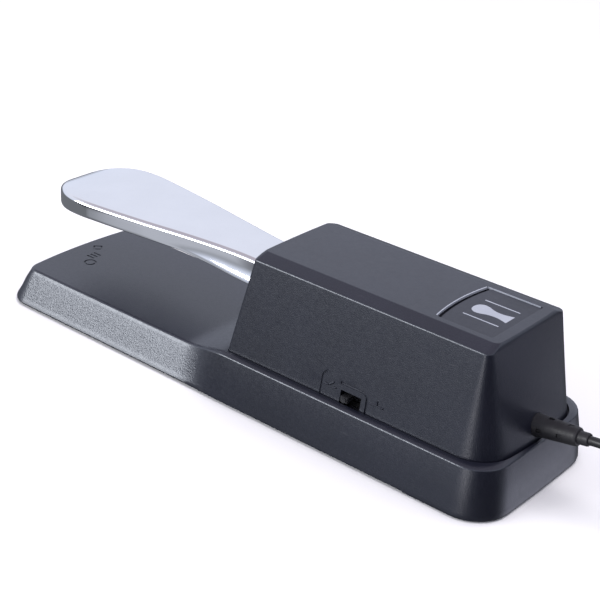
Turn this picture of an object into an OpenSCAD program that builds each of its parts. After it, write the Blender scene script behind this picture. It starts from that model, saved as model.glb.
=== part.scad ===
// Sustain pedal: a chromed foot lever over a weighted base, with a momentary
// switch, a polarity slide switch and a lead that ends in a 6.35 mm jack plug.
// X is across the pedal, Y runs from the pedal's tip to the lead, Z is up.
// The origin is on the standing surface, under the middle of the base.

/* [Base] */
// Length of the base along Y
base_l = 250; // [246:1:254]
// Width of the base across X
base_w = 74; // [73:0.5:76]
// Height of the flat front ramp
ramp_z = 15.15; // [14.5:0.05:15.5]
// Height of the ledge round the housing
ledge_z = 20.7; // [20.5:0.1:21]
// How far the ramp's top edge stands in from the bottom edge
ramp_inset = 7.1; // [6:0.1:8]
// Thickness of the moulded walls
wall = 2.4; // [2:0.1:2.6]
// Height of the floor inside the housing
deck_z = 12; // [11.5:0.1:12.5]

/* [Housing] */
// Height of the housing's flat top
cover_z = 61; // [60.6:0.1:62]
// Half width of the flat top
top_hw = 19.1; // [18.5:0.1:20]
// Half width at the lower edge of the long chamfers
chamfer_hw = 24.6; // [24.2:0.1:25]
// Height of the lower edge of the long chamfers
chamfer_z = 58.9; // [58:0.1:59.5]
// Half width of the housing at the ledge
cover_hw = 31; // [30.6:0.1:31.1]
// Depth of the label recess
recess_d = 1; // [0.8:0.1:1.2]

/* [Pedal] */
// Y of the pedal's axle
axle_y = 88; // [87:0.5:89]
// Height of the pedal's axle
axle_z = 44; // [43.5:0.1:44.5]
// Radius of the axle
axle_r = 2.5; // [2:0.1:2.6]
// Thickness of the pedal's sheet steel
sheet = 1.8; // [1.6:0.1:2]
// Y of the pedal's tip
tip_y = -118.7; // [-120:0.1:-117]

/* [Lead] */
// Diameter of the lead
lead_d = 3.5; // [3:0.1:3.6]
// Distance between neighbouring turns of the coil
turn_pitch = 3.6; // [3.6:0.1:4]
// Mean radius of the coil
coil_r = 19; // [18:0.5:20]
// Diameter of the jack plug's shaft
jack_d = 6.35; // [6.3:0.05:6.4]

/* [Hidden] */

$fn = 48;
eps = 0.01;
half_w = base_w / 2;
half_l = base_l / 2;
base_z = 0.4;           // lower edge of the base's skirt
skirt_step_y = 90;      // the skirt is cut up a little in front of this
skirt_step = 0.7;
front_bow = 1.9;        // how far the front edge bulges forward
rear_bow = 0.8;
front_r = 11.2;
rear_r = 14.5;
cover_y0 = -0.15;       // housing at the ledge
cover_y1 = 120.6;
cover_rear_bow = 2.4;
cover_seat_z = 18.6;    // lower edge of the housing, in the base's rebate
rebate_z = 18.5;
well_hw = 27;           // well for the mechanism
well_y0 = 3.5;
well_y1 = 114;
plate_z0 = 1.4;         // steel plate
plate_z1 = 3.4;
corner_steps = 8;
edge_steps = 6;

// Half width of the pedal along its length, and the heights of its sheet's
// upper face and of its flanges' lower edge.
PEDAL_PLAN = [
    [-118.7, 0.8], [-118, 4.6], [-117, 7.4], [-115.5, 10], [-113.5, 12.6], [-110.4, 15.7],
    [-106.3, 18.7], [-102, 20.8], [-97, 22], [-90, 22.4], [-84, 22], [-76, 21.1], [-65, 19.6],
    [-54, 18], [-42, 16], [-30, 14.1], [-20, 12.7], [-10, 11.6], [0, 11], [10, 10.7], [22, 10.6],
    [46, 10.6], [98, 10.6]
];
PEDAL_TOP = [
    [-118.8, 46.4], [-118, 47.6], [-117, 48.4], [-115.5, 49.2], [-113.5, 50], [-110, 50.8],
    [-105, 51.3], [-98, 51.6], [-85, 51.7], [-62, 51.6], [-40, 51.5], [-24, 51.2], [-14, 50.9],
    [-6, 50.5], [0, 50.1], [5, 49.7], [9, 49.5], [17, 49.5], [36, 49.5], [98, 49.5]
];
PEDAL_LOW = [
    [-118.8, 42.9], [-115, 43.1], [-108, 43.7], [-98, 44.4], [-84, 44.7], [-68, 44.5], [-52, 44.4],
    [-40, 44.2], [-30, 43.3], [-22, 42.3], [-14, 41.1], [-6, 40.3], [4, 39.6], [20, 39], [44, 39],
    [74, 39], [82, 38], [98, 38]
];

// Routes of the lead, from the sleeve to the coil and from the coil to the plug.
LEAD_ROUTE = [
    [0, 139, 27.8], [0, 144, 28.4], [0, 150, 28.7], [0, 158, 27], [0, 165, 22.5],
    [0, 170, 15.5], [0, 175, 8.8], [0, 182, 4.5], [0, 190, 2.8], [0, 199, 2.6]
];
END_ROUTE = [
    [-24.4, 223.4, 13.4], [-32, 223.6, 13.4], [-39, 222.9, 13.2], [-47, 220.2, 12.2],
    [-54, 215.4, 10], [-59, 209, 7.6], [-61, 202, 6.2], [-61, 197, 6]
];
coil_x = -24.4;
coil_y = 199;
coil_z0 = 0.8;
coil_cols = 4;
coil_rows = 4;
plug_x = -61;
plug_y = 200;           // rear end of the plug's grip
plug_z = 6;
grip_l = 34;
jack_y = plug_y - grip_l;
board_z = 15.05;        // underside of the circuit board
board_t = 1.6;

// ---------- helpers ----------

function arc(cx, cy, r, a0, a1) =
    [for (i = [0 : corner_steps]) let (a = a0 + (a1 - a0) * i / corner_steps)
        [cx + r * cos(a), cy + r * sin(a)]];

function edge(xa, xb, y) =
    [for (i = [1 : edge_steps - 1]) [xa + (xb - xa) * i / edge_steps, y]];

// Rounded outline with bowed ends: y0 and y1 are reached at the middle.
function outline(hw, y0, y1, rf, rr, bow_f, bow_r) =
    let (
        flat = concat(
            arc(hw - rr, y1 - rr, rr, 0, 90), edge(hw - rr, -hw + rr, y1),
            arc(-hw + rr, y1 - rr, rr, 90, 180), arc(-hw + rf, y0 + rf, rf, 180, 270),
            edge(-hw + rf, hw - rf, y0), arc(hw - rf, y0 + rf, rf, 270, 360)
        ),
        mid = (y0 + y1) / 2
    )
    [for (p = flat) [p[0], p[1] + (p[1] > mid ? -bow_r : bow_f) * pow(p[0] / hw, 2)]];

// Closed solid through outlines at rising heights: rings = [[z, outline], ...].
module loft(rings) {
    n = len(rings[0][1]);
    k = len(rings);
    points = [for (r = rings) for (p = r[1]) [p[0], p[1], r[0]]];
    sides = [for (j = [0 : k - 2]) for (i = [0 : n - 1])
        let (a = j * n + i, b = j * n + (i + 1) % n) each [[a + n, b, a], [a + n, b + n, b]]];
    floor_face = [[for (i = [0 : n - 1]) i]];
    roof_face = [[for (i = [n - 1 : -1 : 0]) (k - 1) * n + i]];
    polyhedron(points, concat(floor_face, sides, roof_face));
}

// Value of a curve given as [x, value] pairs.
function catmull(a, b, c, d, t) =
    0.5 * ((2 * b) + (c - a) * t + (2 * a - 5 * b + 4 * c - d) * t * t
        + (3 * b - a - 3 * c + d) * t * t * t);

function at(list, i) = list[max(0, min(len(list) - 1, i))];

// Smooth line through a list of points.
function smooth(list, steps) = concat(
    [for (i = [0 : len(list) - 2]) for (s = [0 : steps - 1])
        catmull(at(list, i - 1), list[i], list[i + 1], at(list, i + 2), s / steps)],
    [list[len(list) - 1]]
);

function unit(v) = v / norm(v);

// Tube swept along a list of points; side is any direction off the route.
module tube(points, d, sides, side) {
    n = len(points);
    rings = [for (i = [0 : n - 1])
        let (
            t = unit(points[min(i + 1, n - 1)] - points[max(i - 1, 0)]),
            u = unit(cross(t, side)),
            v = cross(t, u)
        )
        for (k = [0 : sides - 1])
            points[i] + d / 2 * (cos(360 * k / sides) * u + sin(360 * k / sides) * v)];
    walls = [for (i = [0 : n - 2]) for (k = [0 : sides - 1])
        let (a = i * sides + k, b = i * sides + (k + 1) % sides)
            each [[a, b, a + sides], [b, b + sides, a + sides]]];
    polyhedron(
        rings,
        concat([[for (k = [sides - 1 : -1 : 0]) k]], walls,
            [[for (k = [0 : sides - 1]) (n - 1) * sides + k]])
    );
}

module along_x(x0, x1, r) {
    translate([x0, 0, 0]) rotate([0, 90, 0]) cylinder(h = x1 - x0, r = r);
}

// Box from its lowest to its highest corner.
module block(lo, hi) {
    translate(lo) cube(hi - lo);
}

// Pan-head screw standing at p, its head below the shank.
module screw_up(p, shank_r, shank_l, head_r, head_h) {
    translate(p) {
        cylinder(h = head_h, r = head_r);
        cylinder(h = head_h + shank_l, r = shank_r);
    }
}

// Pan-head screw at p, its head above the shank.
module screw_down(p, shank_r, shank_l, head_r, head_h) {
    translate(p) {
        cylinder(h = head_h, r = head_r);
        translate([0, 0, -shank_l]) cylinder(h = shank_l + head_h, r = shank_r);
    }
}

COVER_BOSSES = [[-21.5, 14], [21.5, 14], [-21.5, 104], [21.5, 104]];
PLATE_SCREWS = [[-22, -104], [22, -104], [-22, -40], [22, -40], [0, 58]];
BOARD_BOSSES = [[22.5, 50.5], [22.5, 74]];
BRACKET_HOLES = [[-7, 94], [7, 94]];

// ---------- base ----------

// Outline of the base at a height, drawn in all round by inset.
function base_outline(inset) = outline(
    half_w - inset, -half_l + inset, half_l - inset,
    max(2, front_r - inset * 0.9), rear_r - inset, front_bow, rear_bow
);

module ramp_block(gap) {
    loft([
        [base_z - gap, base_outline(gap)],
        [ramp_z - 0.9 - gap, base_outline(ramp_inset - 0.9 + gap)],
        [ramp_z - gap, base_outline(ramp_inset + gap)]
    ]);
}

module ledge_block() {
    difference() {
        loft([
            [base_z, base_outline(0)],
            [ledge_z - 3, base_outline(1.5)],
            [ledge_z - 1, base_outline(2.1)],
            [ledge_z - 0.3, base_outline(3.1)],
            [ledge_z, base_outline(4.4)]
        ]);
        block([-half_w - 1, -half_l - 1, -1], [half_w + 1, 5, ledge_z + 1]);
    }
}

// Blend that rises from the ramp to the ledge.
module rise() {
    intersection() {
        hull() {
            translate([0, 6, 0]) rotate([90, 0, 0]) linear_extrude(eps)
                polygon([[-half_w, base_z], [half_w, base_z], [35.5, 17.7], [33.6, 20.4],
                    [32.4, ledge_z], [-32.4, ledge_z], [-33.6, 20.4], [-35.5, 17.7]]);
            translate([0, -26, 0]) rotate([90, 0, 0]) linear_extrude(eps)
                polygon([[-half_w, base_z], [half_w, base_z], [27.6, ledge_z], [-27.6, ledge_z]]);
        }
        rotate([90, 0, 90]) translate([0, 0, -half_w - 1]) linear_extrude(base_w + 2)
            polygon(concat([[6, base_z], [6, ledge_z]], [for (i = [0 : 12]) let (t = i / 12)
                [3 - 27 * t, ramp_z + (ledge_z - ramp_z) * (0.5 + 0.5 * cos(180 * t))]],
                [[-24, base_z]]));
    }
}

// Well that holds the mechanism, open into the housing.
module well() {
    translate([0, 0, deck_z]) linear_extrude(20)
        polygon(outline(well_hw, well_y0, well_y1, 3, 9, 0, 1));
    translate([0, 0, rebate_z]) linear_extrude(20)
        polygon(outline(cover_hw + 0.8, cover_y0 - 0.9, cover_y1 + 0.9, 3.4, 12.6, 0, cover_rear_bow));
}

// Hollow under the ramp and the deck, open at the bottom.
module under_hollow() {
    difference() {
        ramp_block(wall);
        block([-half_w, well_y0 - wall, -1], [half_w, half_l, ledge_z]);
    }
    difference() {
        translate([0, 0, base_z - 1]) linear_extrude(16.4)
            polygon(outline(half_w - wall - 1, 2, half_l - wall - 1, 3, rear_r - wall, 0, rear_bow));
        translate([0, 0, deck_z - wall]) linear_extrude(20)
            polygon(outline(well_hw + wall, 2 - wall, well_y1 + wall, 3, 10, 0, 1));
    }
    // lower edge of the cross rib between the two hollows, clear of the plate
    block([0.3 - half_w + wall, 0, -1], [half_w - wall - 0.3, 5, plate_z1 + 0.3]);
}

module base_posts() {
    for (p = COVER_BOSSES) translate([p[0], p[1], plate_z1]) cylinder(h = cover_seat_z - plate_z1, r = 4.2);
    for (p = PLATE_SCREWS) translate([p[0], p[1], plate_z1])
        cylinder(h = (p[1] < 0 ? ramp_z - 1 : deck_z) - plate_z1, r = 4);
    for (p = BOARD_BOSSES) translate([p[0], p[1], deck_z - 1]) cylinder(h = 4, r = 3);
    for (x = [-7, 7]) translate([x, 105, deck_z - 1]) cylinder(h = 6.8, r = 3);
    // spigot inside the return spring
    translate([0, 35, deck_z - 1]) cylinder(h = 6, r = 4);
    // pillar under the lower bumper
    translate([0, 15, deck_z - 1]) cylinder(h = 25, r = 5.5);
    block([-1, 9.5, deck_z - 1], [1, 23.5, 30]);
}

module base_shell() {
    color("#2b2d33") difference() {
        union() {
            difference() {
                union() {
                    ramp_block(0);
                    ledge_block();
                    rise();
                }
                well();
                under_hollow();
            }
            intersection() {
                base_posts();
                block([-34, -120, plate_z1], [34, 120, 40]);
            }
        }
        // screw bores
        for (p = COVER_BOSSES) {
            translate([p[0], p[1], 0]) cylinder(h = 30, r = 1.9);
            translate([p[0], p[1], 0]) cylinder(h = 7, r = 3.6);
        }
        for (p = PLATE_SCREWS) translate([p[0], p[1], 0]) cylinder(h = 10, r = 1.45);
        for (p = BOARD_BOSSES) translate([p[0], p[1], 10.5]) cylinder(h = 8, r = 1.05);
        for (x = [-7, 7]) translate([x, 105, 10.5]) cylinder(h = 9, r = 1.05);
        for (p = BRACKET_HOLES) translate([p[0], p[1], 8]) cylinder(h = 8, r = 1.25);
        // stem hole for the bumper
        translate([0, 15, 30]) cylinder(h = 8, r = 2);
        // front part of the skirt stands a little clear of the surface
        block([-half_w - 1, -half_l - 3, -1], [half_w + 1, skirt_step_y, base_z + skirt_step]);
    }
}

module base_plate() {
    color("#9a9da3") difference() {
        translate([0, 0, plate_z0]) linear_extrude(plate_z1 - plate_z0)
            polygon(base_outline(5.2));
        for (p = COVER_BOSSES) translate([p[0], p[1], 0]) cylinder(h = 5, r = 4);
        for (p = PLATE_SCREWS) translate([p[0], p[1], 0]) cylinder(h = 5, r = 1.7);
    }
}

module plate_screws() {
    color("#8d9096") for (p = PLATE_SCREWS) screw_up([p[0], p[1], 0.3], 1.4, 7.4, 2.8, 1.1);
}

module sole_pad() {
    color("#1d1e20") difference() {
        linear_extrude(plate_z0) polygon(base_outline(4.2));
        for (p = COVER_BOSSES) translate([p[0], p[1], -1]) cylinder(h = 4, r = 4);
        for (p = PLATE_SCREWS) translate([p[0], p[1], -1]) cylinder(h = 4, r = 3.4);
    }
}

// ---------- housing ----------

function cover_outline(z, gap) =
    let (t = (z - ledge_z) / (cover_z - ledge_z),
        hw = z <= chamfer_z
            ? cover_hw + (chamfer_hw - cover_hw) * (z - ledge_z) / (chamfer_z - ledge_z)
            : chamfer_hw + (top_hw - chamfer_hw) * (z - chamfer_z) / (cover_z - chamfer_z))
    outline(hw - gap, cover_y0 + 6.4 * t + gap, cover_y1 - 9.4 * t - gap,
        3, 11.8 - 7.4 * t - gap, 0.4, cover_rear_bow * (1 - 0.8 * t));

module cover_outer() {
    loft([
        [cover_seat_z, cover_outline(cover_seat_z, 0)],
        [chamfer_z, cover_outline(chamfer_z, 0)],
        [cover_z, cover_outline(cover_z, 0)]
    ]);
}

module cover_hollow() {
    loft([
        [cover_seat_z - 1, cover_outline(cover_seat_z, 2.2)],
        [chamfer_z - 2.2, cover_outline(chamfer_z - 1, 2.2)],
        [cover_z - 2.2, cover_outline(cover_z, 3.2)]
    ]);
}

module top_cover() {
    color("#31333a") difference() {
        union() {
            difference() {
                cover_outer();
                cover_hollow();
            }
            intersection() {
                cover_outer();
                union() {
                    for (p = COVER_BOSSES)
                        translate([p[0], p[1], cover_seat_z + 0.1]) cylinder(h = 50, r = 3.8);
                    // rib that carries the felt pad
                    block([-10, 11, 52.4], [10, 19, cover_z - 1]);
                }
            }
        }
        for (p = COVER_BOSSES) translate([p[0], p[1], 0]) cylinder(h = 34, r = 1.3);
        // mouth that the pedal swings in
        block([-14.5, -3, 30], [14.5, 10, 52]);
        // label recess
        translate([0, 0, cover_z - recess_d]) linear_extrude(3)
            polygon(outline(16.5, 81.8, 106.5, 0.8, 0.8, 1.7, 0));
        // notch for the polarity knob
        block([20, 55.2, 10], [35, 64.5, 25.3]);
        // hole for the lead's sleeve
        translate([0, 119, 25.3]) rotate([-82.6, 0, 0]) translate([0, 0, -12]) cylinder(h = 30, r = 4.35);
    }
}

module label_plate() {
    color("#23252c") translate([0, 0, cover_z - recess_d + 0.02]) linear_extrude(0.5)
        polygon(outline(16.2, 82.1, 106.2, 0.7, 0.7, 1.7, 0));
}

module cover_screws() {
    color("#8d9096") for (p = COVER_BOSSES) screw_up([p[0], p[1], 5], 1.25, 26.5, 2.9, 2);
}

// ---------- pedal ----------

function pedal_section(list) = smooth(list, 4);

// Prism of the pedal's plan, drawn in by gap.
module pedal_plan(gap, z0, z1) {
    pts = pedal_section(PEDAL_PLAN);
    n = len(pts);
    span = 98 - tip_y;
    shrunk = [for (p = pts) [max(0.4, p[1] - gap), p[0] + gap * (98 - p[0]) / span]];
    translate([0, 0, z0]) linear_extrude(z1 - z0)
        polygon(concat(shrunk, [for (i = [n - 1 : -1 : 0]) [-shrunk[i][0], shrunk[i][1]]]));
}

// Prism of the pedal's side view between two height curves.
module pedal_side(low, low_drop, top, top_drop) {
    lo = pedal_section(low);
    hi = pedal_section(top);
    n = len(hi);
    pts = concat(
        [for (p = lo) [p[0], p[1] - low_drop]],
        [for (i = [n - 1 : -1 : 0]) [hi[i][0], hi[i][1] - top_drop]]
    );
    rotate([90, 0, 90]) translate([0, 0, -25]) linear_extrude(50) polygon(pts);
}

module pedal_lever() {
    color("#cfd3dc") difference() {
        intersection() {
            pedal_plan(0, 30, 60);
            pedal_side(PEDAL_LOW, 0, PEDAL_TOP, 0);
        }
        intersection() {
            pedal_plan(sheet, 29, 60);
            pedal_side(PEDAL_LOW, 6, PEDAL_TOP, sheet);
        }
        // open rear end
        block([-10.6 + sheet, 90, 30], [10.6 - sheet, 99, 49.5 - sheet]);
        translate([0, axle_y, axle_z]) along_x(-20, 20, 4);
    }
}

module pivot_bushes() {
    color("#e8e6dc") for (s = [-1, 1]) translate([0, axle_y, axle_z]) difference() {
        union() {
            if (s > 0) {
                along_x(8.4, 11.9, 4);
                along_x(10.65, 11.9, 5.4);
            } else {
                along_x(-11.9, -8.4, 4);
                along_x(-11.9, -10.65, 5.4);
            }
        }
        along_x(-20, 20, axle_r + 0.05);
    }
}

module pivot_bracket() {
    color("#a7abb3") difference() {
        union() {
            block([-14.2, 79, deck_z], [14.2, 98, deck_z + 1.6]);
            for (s = [-1, 1]) translate([s > 0 ? 12.6 : -14.2, 0, 0]) {
                block([0, 80, deck_z], [1.6, 96, axle_z]);
                translate([0, axle_y, axle_z]) along_x(0, 1.6, 8);
            }
        }
        translate([0, axle_y, axle_z]) along_x(-20, 20, axle_r);
        for (p = BRACKET_HOLES) translate([p[0], p[1], 5]) cylinder(h = 20, r = 1.6);
    }
}

module bracket_screws() {
    color("#8d9096") for (p = BRACKET_HOLES)
        screw_down([p[0], p[1], deck_z + 1.62], 1.2, 4.6, 2.6, 1.6);
}

module pivot_pin() {
    color("#c4c7cc") translate([0, axle_y, axle_z]) difference() {
        along_x(-17.2, 17.2, axle_r);
        for (x = [-16.3, 15.5]) translate([x, 0, 0]) difference() {
            along_x(0, 0.8, 4);
            along_x(-1, 2, 1.9);
        }
    }
}

module pin_clips() {
    color("#b9bcc2") translate([0, axle_y, axle_z]) for (x = [-16.25, 15.55]) translate([x, 0, 0])
        difference() {
            along_x(0, 0.7, 4.6);
            along_x(-1, 2, 1.9);
            block([-1, -6, -6], [2, 6, -2.6]);
        }
}

module spring_cup() {
    color("#e8e6dc") translate([0, 35, 0]) difference() {
        union() {
            translate([0, 0, 44.9]) cylinder(h = 2.75, r = 8);
            translate([0, 0, 40.5]) cylinder(h = 5, r = 3.9);
        }
        translate([0, 0, 40]) cylinder(h = 5, r = 2.2);
    }
}

// Compression spring: end turns lie closer than the working turns.
module return_spring() {
    turns = 8;
    wire = 1.4;
    z0 = deck_z + wire / 2 + 0.05;
    z1 = 44.85 - wire / 2;
    steps = turns * 16;
    color("#b5b9c0") translate([0, 35, 0]) tube(
        [for (i = [0 : steps]) let (t = i / steps, a = 360 * turns * t,
            s = t - sin(360 * t) / 360 * 57.3 * 0.11)
            [5.9 * cos(a), 5.9 * sin(a), z0 + (z1 - z0) * s]],
        wire, 8, [0, 0, 1]
    );
}

module upper_pad() {
    color("#3b3d44") block([-9, 11.2, 49.7], [9, 18.8, 52.38]);
}

module lower_bumper() {
    color("#1f2022") translate([0, 15, 0]) {
        translate([0, 0, 36.02]) cylinder(h = 3.6, r = 5);
        translate([0, 0, 39.6]) cylinder(h = 1.3, r1 = 5, r2 = 4);
        translate([0, 0, 31]) cylinder(h = 6, r = 1.95);
    }
}

// ---------- switches ----------

module circuit_board() {
    color("#2f6b45") difference() {
        block([5.5, 47, board_z], [26.4, 77.5, board_z + board_t]);
        for (p = BOARD_BOSSES) translate([p[0], p[1], 10]) cylinder(h = 10, r = 1.3);
    }
}

module board_screws() {
    color("#8d9096") for (p = BOARD_BOSSES)
        screw_down([p[0], p[1], board_z + board_t + 0.02], 1, 5, 1.9, 1.2);
}

module microswitch_case() {
    color("#3a3f4a") difference() {
        union() {
            block([6.6, 54, board_z + board_t + 0.02], [12.8, 74, 26.2]);
            for (x = [6.6, 11.9]) block([x, 71, 26.2 - eps], [x + 0.9, 74, 29.6]);
        }
        translate([9.7, 64, 21.5]) cylinder(h = 10, r = 1.4);
    }
}

module microswitch_button() {
    color("#c9402f") translate([9.7, 64, 23.4]) cylinder(h = 5, r = 1.2);
}

module microswitch_leaf() {
    color("#c9ccd2") {
        rotate([90, 0, 90]) translate([0, 0, 7.8]) linear_extrude(3.8)
            polygon([[72.9, 28.3], [72.9, 28.7], [60.2, 29.3], [52.2, 38.6], [51.6, 38.3],
                [51.8, 38], [59.9, 28.75]]);
        translate([0, 72.5, 28.5]) along_x(7.65, 11.75, 0.45);
    }
}

module slide_switch_case() {
    color("#8f949c") difference() {
        block([17.6, 49.6, board_z + board_t + 0.02 + 1.4], [26.8, 70.4, 26.3]);
        block([20.4, 51.9, 19.1], [25.9, 67.1, 24.9]);
        block([25, 54.9, 20.4], [30, 64.8, 23.9]);
    }
    color("#c9a74a") for (y = [53, 57.5, 62, 66.5])
        block([21, y, board_z + board_t + 0.02], [22, y + 0.8, board_z + board_t + 1.45]);
}

module polarity_slider() {
    color("#17181b") {
        block([21, 53.2, 19.6], [25.6, 61.3, 24.4]);
        block([25, 55.7, 20.9], [30.9, 58.8, 23.3]);
        translate([30.6, 57.25, 22.1]) rotate([0, 90, 0]) cylinder(h = 0.8, r = 1.1);
    }
}

// ---------- lead ----------

// The lead's inner end under the clamp, and its two cores on to the board.
module lead_wires() {
    color("#1b1c1f") tube(smooth([[0, 137.8, 27.74], [0, 128, 26.47], [0, 119, 25.3], [0, 114, 24.65],
        [0, 111.6, 22.6], [0, 110, 19.6], [0, 108.2, 17.4], [0, 104.5, 16.4], [0, 100, 16.3]], 3), 3.4, 8,
        [1, 0, 0]);
    color("#b23a30") tube(smooth([[0.8, 99.8, 16], [3, 91, 16.2], [8, 84, 16.6], [11.4, 79, 17.2],
        [11.5, 75.6, 17.3]], 3), 1.2, 6, [0, 0, 1]);
    color("#d8d8d4") tube(smooth([[-0.8, 99.8, 16], [0, 91, 16], [4, 84, 16.4], [8.3, 79, 17.2],
        [8.5, 75.6, 17.3]], 3), 1.2, 6, [0, 0, 1]);
}

module cord_clamp() {
    color("#2a2c31") difference() {
        block([-10, 102.4, 17.85], [10, 107.6, 20.6]);
        for (x = [-7, 7]) translate([x, 105, 15]) cylinder(h = 8, r = 1.3);
        translate([0, 95, 17.2]) rotate([-90, 0, 0]) cylinder(h = 20, r = 1.9);
    }
}

module clamp_screws() {
    color("#8d9096") for (x = [-7, 7]) screw_down([x, 105, 20.62], 1, 8, 1.9, 1.2);
}

// Rubber sleeve: turned shape along its own axis, z = 0 inside the rear wall.
module strain_relief() {
    color("#141518") translate([0, 119, 25.3]) rotate([-82.6, 0, 0]) difference() {
        rotate_extrude() polygon([[1.8, -4.6], [6, -4.6], [6, -2.9], [4.25, -2.9], [4.25, 0],
            [3.85, 6], [3.5, 17.5], [3.2, 18.2], [2.6, 18.6], [2.6, 22], [1.8, 22]]);
        // bend slots
        for (z = [3, 11]) for (s = [-1, 1]) translate([s * 3.6, -1.5, z]) cube([1.6, 1.2, 2.4], center = true);
        for (z = [5.5, 13.5]) translate([0, -3.9, z]) cube([3, 1.2, 1.6], center = true);
    }
}

module cord_lead() {
    color("#191a1d") tube(smooth(LEAD_ROUTE, 3), lead_d, 8, [1, 0, 0]);
}

module cord_end() {
    color("#191a1d") tube(smooth(END_ROUTE, 3), lead_d, 8, [0, 0, 1]);
}

module cord_coil() {
    inner = coil_r - turn_pitch * coil_cols / 2;
    outer = coil_r + turn_pitch * coil_cols / 2;
    top = coil_z0 + turn_pitch * coil_rows;
    color("#191a1d") translate([coil_x, coil_y, 0]) rotate_extrude($fn = 96)
        polygon([[inner + 1, coil_z0], [outer - 1, coil_z0], [outer, coil_z0 + 1], [outer, top - 1],
            [outer - 1, top], [inner + 1, top], [inner, top - 1], [inner, coil_z0 + 1]]);
}

// Strap round the coil's bundle of turns.
module cord_tie() {
    inner = coil_r - turn_pitch * coil_cols / 2;
    outer = coil_r + turn_pitch * coil_cols / 2;
    top = coil_z0 + turn_pitch * coil_rows;
    color("#2c2d31") translate([coil_x, coil_y, 0]) rotate([0, 0, 215]) difference() {
        block([inner - 1.1, -3, 0.05], [outer + 0.75, 3, top + 0.7]);
        block([inner - 0.5, -5, coil_z0 - 0.05], [outer + 0.05, 5, top + 0.05]);
    }
}

module plug_grip() {
    color("#202125") translate([plug_x, plug_y, plug_z]) rotate([90, 0, 0]) difference() {
        rotate_extrude() polygon([[1.85, 0], [2.9, 0], [3.1, 1], [3.9, 10], [5.4, 12], [5.9, 13.5],
            [5.9, 31], [5.3, 33], [5, grip_l], [1.85, grip_l]]);
        for (z = [3, 6, 9]) for (s = [-1, 1])
            translate([s * 3.4, 0, z]) cube([1.2, 4, 1.2], center = true);
    }
}

// Shaft of the plug up to its insulating ring; its stem fills the grip's bore.
module plug_sleeve() {
    color("#d0d2d6") translate([plug_x, jack_y, plug_z]) rotate([90, 0, 0]) {
        cylinder(h = 20, r = jack_d / 2);
        translate([0, 0, -28]) cylinder(h = 28.5, r = 1.84);
        cylinder(h = 0.8, r = 4.6);
    }
}

module plug_insulator() {
    color("#18191b") translate([plug_x, jack_y - 20.02, plug_z]) rotate([90, 0, 0])
        cylinder(h = 1.2, r = jack_d / 2 - 0.05);
}

module plug_tip() {
    color("#d0d2d6") translate([plug_x, jack_y - 21.24, plug_z]) rotate([90, 0, 0])
        rotate_extrude() polygon([[0, 0], [3.1, 0], [3.1, 2.4], [1.95, 4.6], [1.95, 5.4], [3.05, 7],
            [2.4, 8.4], [1.3, 9.4], [0, 9.7]]);
}

base_shell();
top_cover();
label_plate();
base_plate();
plate_screws();
sole_pad();
pivot_bracket();
bracket_screws();
pivot_pin();
pin_clips();
pivot_bushes();
pedal_lever();
spring_cup();
return_spring();
upper_pad();
lower_bumper();
circuit_board();
board_screws();
microswitch_case();
microswitch_leaf();
microswitch_button();
slide_switch_case();
polarity_slider();
lead_wires();
cord_clamp();
clamp_screws();
cover_screws();
strain_relief();
cord_lead();
cord_coil();
cord_end();
cord_tie();
plug_grip();
plug_sleeve();
plug_insulator();
plug_tip();
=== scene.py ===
"""Sustain pedal: the looks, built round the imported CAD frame.
Sizes are in millimetres here and become metres when a mesh or a curve is made."""
import math

import bmesh
import bpy
from mathutils import Matrix, Vector


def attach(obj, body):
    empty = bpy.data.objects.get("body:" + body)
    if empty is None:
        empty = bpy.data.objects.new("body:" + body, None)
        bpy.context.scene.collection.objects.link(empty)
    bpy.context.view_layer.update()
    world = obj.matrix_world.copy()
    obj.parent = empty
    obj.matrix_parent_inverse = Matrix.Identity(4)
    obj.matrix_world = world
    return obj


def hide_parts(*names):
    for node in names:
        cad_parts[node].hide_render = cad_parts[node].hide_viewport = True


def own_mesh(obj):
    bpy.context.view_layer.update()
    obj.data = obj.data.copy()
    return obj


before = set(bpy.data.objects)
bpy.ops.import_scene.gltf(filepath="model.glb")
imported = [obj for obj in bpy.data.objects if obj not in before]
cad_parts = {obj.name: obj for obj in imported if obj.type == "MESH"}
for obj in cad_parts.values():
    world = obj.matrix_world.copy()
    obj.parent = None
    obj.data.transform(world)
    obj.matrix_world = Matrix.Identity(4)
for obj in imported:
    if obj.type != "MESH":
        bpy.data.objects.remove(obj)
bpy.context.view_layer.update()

MM = 0.001

# ---------- driving sizes, the same as the CAD's ----------

BASE_L, BASE_W = 250.0, 74.0
HALF_L, HALF_W = BASE_L / 2, BASE_W / 2
FRONT_R, REAR_R = 11.2, 14.5
FRONT_BOW, REAR_BOW = 1.9, 0.8
BASE_Z, SKIRT_STEP, SKIRT_STEP_Y = 0.4, 0.7, 90.0
RAMP_Z, LEDGE_Z, DECK_Z, REBATE_Z = 15.15, 20.7, 12.0, 18.5
RISE_Y0, RISE_Y1 = -23.0, 3.0
COVER_SEAT_Z, COVER_Z, CHAMFER_Z = 18.6, 61.0, 58.9
COVER_HW, CHAMFER_HW, TOP_HW = 31.0, 24.6, 19.1
COVER_Y0, COVER_Y1 = -0.15, 120.6
COVER_REAR_BOW = 2.4
COVER_WALL = 2.2
RECESS_HW, RECESS_Y0, RECESS_Y1 = 16.5, 81.8, 106.5   # the label's recess in the housing's top
RECESS_BOW = 1.7
AXLE = (0.0, 88.0, 44.0)
SHEET, PEDAL_EDGE = 1.8, 2.0    # thickness of the pedal's sheet, width of its rounded edge
SPRING_Y = 35.0
LEAD_D = 3.5
COIL = dict(x=-24.4, y=199.0, z0=0.8, r=19.0, pitch=3.6, cols=4, rows=4, turns=14.25)
SLEEVE_AT, SLEEVE_TILT = (0.0, 119.0, 25.3), math.radians(7.4)
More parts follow.
